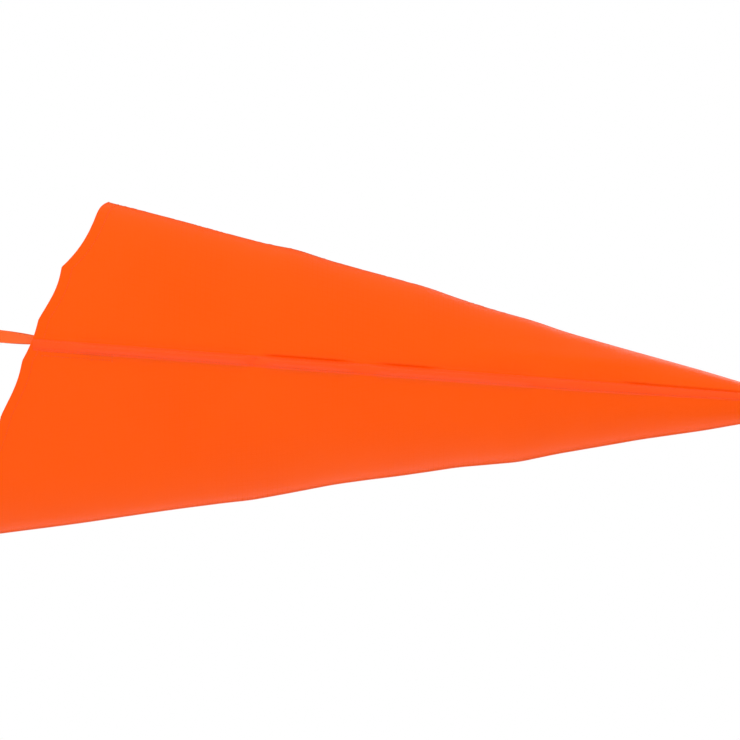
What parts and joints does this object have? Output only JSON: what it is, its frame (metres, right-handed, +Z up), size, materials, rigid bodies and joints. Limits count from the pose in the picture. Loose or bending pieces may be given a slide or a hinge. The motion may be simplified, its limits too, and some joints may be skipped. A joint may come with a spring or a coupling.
{
  "type": "windsock with pole",
  "caption": "Orange cone windsock flown by a side bridle from a swivelling boom on a telescopic pole, with a steel base plate.",
  "frame": {"origin": "on the pole's axis, at the underside of the rubber mat that the base plate stands on", "axes": "+Z up along the pole, +X downwind from the pole to the sock's tail, -Y towards the near side seam"},
  "size_m": [1.453, 0.4, 1.949],
  "materials": {
    "orange_cloth": "coated rip-stop nylon, slight sheen",
    "orange_webbing": "woven polyester tape, matt",
    "aluminium": "drawn and clear anodised",
    "steel": "stainless, brushed",
    "dark_paint": "black powder coat on steel",
    "black_plastic": "moulded, fine grain",
    "rubber": "matt"
  },
  "bodies": {
    "base": {"base_mat": "rubber", "base_plate": "dark_paint", "pole_socket": "dark_paint", "flange_bolt_1": "steel", "flange_bolt_2": "steel", "flange_bolt_3": "steel", "flange_bolt_4": "steel"},
    "knob": {"knob_handle": "black_plastic", "knob_screw": "steel"},
    "lower_pole": {"foot_plug": "black_plastic", "lower_tube": "aluminium", "lower_lock_collar": "black_plastic", "lower_lock_barrel": "steel", "lower_lock_bolt": "steel", "lower_lock_nut": "steel"},
    "lower_lever": {"lower_lock_lever": "black_plastic"},
    "mid_pole": {"mid_plug": "black_plastic", "mid_tube": "aluminium", "upper_lock_collar": "black_plastic", "upper_lock_barrel": "steel", "upper_lock_bolt": "steel", "upper_lock_nut": "steel"},
    "upper_lever": {"upper_lock_lever": "black_plastic"},
    "top_pole": {"top_plug": "black_plastic", "top_tube": "aluminium", "head_plug": "aluminium", "spindle": "steel", "lower_bearing_inner": "steel", "upper_bearing_inner": "steel", "bearing_spacer": "aluminium", "retaining_washer": "steel", "spindle_nut": "steel"},
    "head": {"head_housing": "aluminium", "lower_bearing_outer": "steel", "upper_bearing_outer": "steel", "dust_cap": "black_plastic", "boom": "steel", "grub_screw_1": "steel", "grub_screw_2": "steel"},
    "lower_cage": {"lower_ball_cage": "steel"},
    "upper_cage": {"upper_ball_cage": "steel"},
    "hook": {"snap_hook": "steel", "gate_pin": "steel"},
    "gate": {"hook_gate": "steel"},
    "sock": {"swivel_bail": "steel", "bridle_strap": "orange_webbing", "mouth_hem": "orange_cloth", "upper_panel": "orange_cloth", "lower_panel": "orange_cloth", "near_seam_tape": "orange_cloth", "far_seam_tape": "orange_cloth", "tail_hem": "orange_cloth"}
  },
  "joints": [
    {"name": "knob_turn", "type": "hinge", "parent": "base", "child": "knob", "pos_m": [0, -0.045, 0.1], "axis": [0, 1, 0], "range_deg": [0, 360]},
    {"name": "pole_lift", "type": "slide", "parent": "base", "child": "lower_pole", "axis": [0, 0, 1], "range_m": [0, 0.11]},
    {"name": "lower_lever_open", "type": "hinge", "parent": "lower_pole", "child": "lower_lever", "pos_m": [-0.0164, -0.028, 0.702], "axis": [0, 0, 1], "range_deg": [0, 120]},
    {"name": "mid_slide", "type": "slide", "parent": "lower_pole", "child": "mid_pole", "axis": [0, 0, 1], "range_m": [-0.51, 0]},
    {"name": "upper_lever_open", "type": "hinge", "parent": "mid_pole", "child": "upper_lever", "pos_m": [-0.0164, -0.026, 1.252], "axis": [0, 0, 1], "range_deg": [0, 120]},
    {"name": "top_slide", "type": "slide", "parent": "mid_pole", "child": "top_pole", "axis": [0, 0, 1], "range_m": [-0.51, 0]},
    {"name": "head_turn", "type": "hinge", "parent": "top_pole", "child": "head", "pos_m": [0, 0, 1.85], "axis": [0, 0, 1], "continuous": true},
    {"name": "lower_cage_turn", "type": "hinge", "parent": "top_pole", "child": "lower_cage", "pos_m": [0, 0, 1.8275], "axis": [0, 0, 1], "continuous": true},
    {"name": "upper_cage_turn", "type": "hinge", "parent": "top_pole", "child": "upper_cage", "pos_m": [0, 0, 1.8595], "axis": [0, 0, 1], "continuous": true},
    {"name": "sock_droop", "type": "hinge", "parent": "head", "child": "hook", "pos_m": [0.205, 0, 1.8435], "axis": [0, 1, 0], "range_deg": [-4, 75]},
    {"name": "gate_open", "type": "hinge", "parent": "hook", "child": "gate", "pos_m": [0.23542, -0.008, 1.84015], "axis": [-0.1093, 0, -0.994], "range_deg": [0, 50], "stiffness_Nm_per_rad": 0.02, "springref_deg": -20.05},
    {"name": "sock_roll", "type": "hinge", "parent": "hook", "child": "sock", "pos_m": [0.205, 0, 1.8435], "axis": [0.994, 0, -0.1093], "continuous": true}
  ],
  "couplings": [
    {"joint": "lower_cage_turn", "follows": "head_turn", "ratio": 0.5867},
    {"joint": "upper_cage_turn", "follows": "head_turn", "ratio": 0.5867}
  ]
}
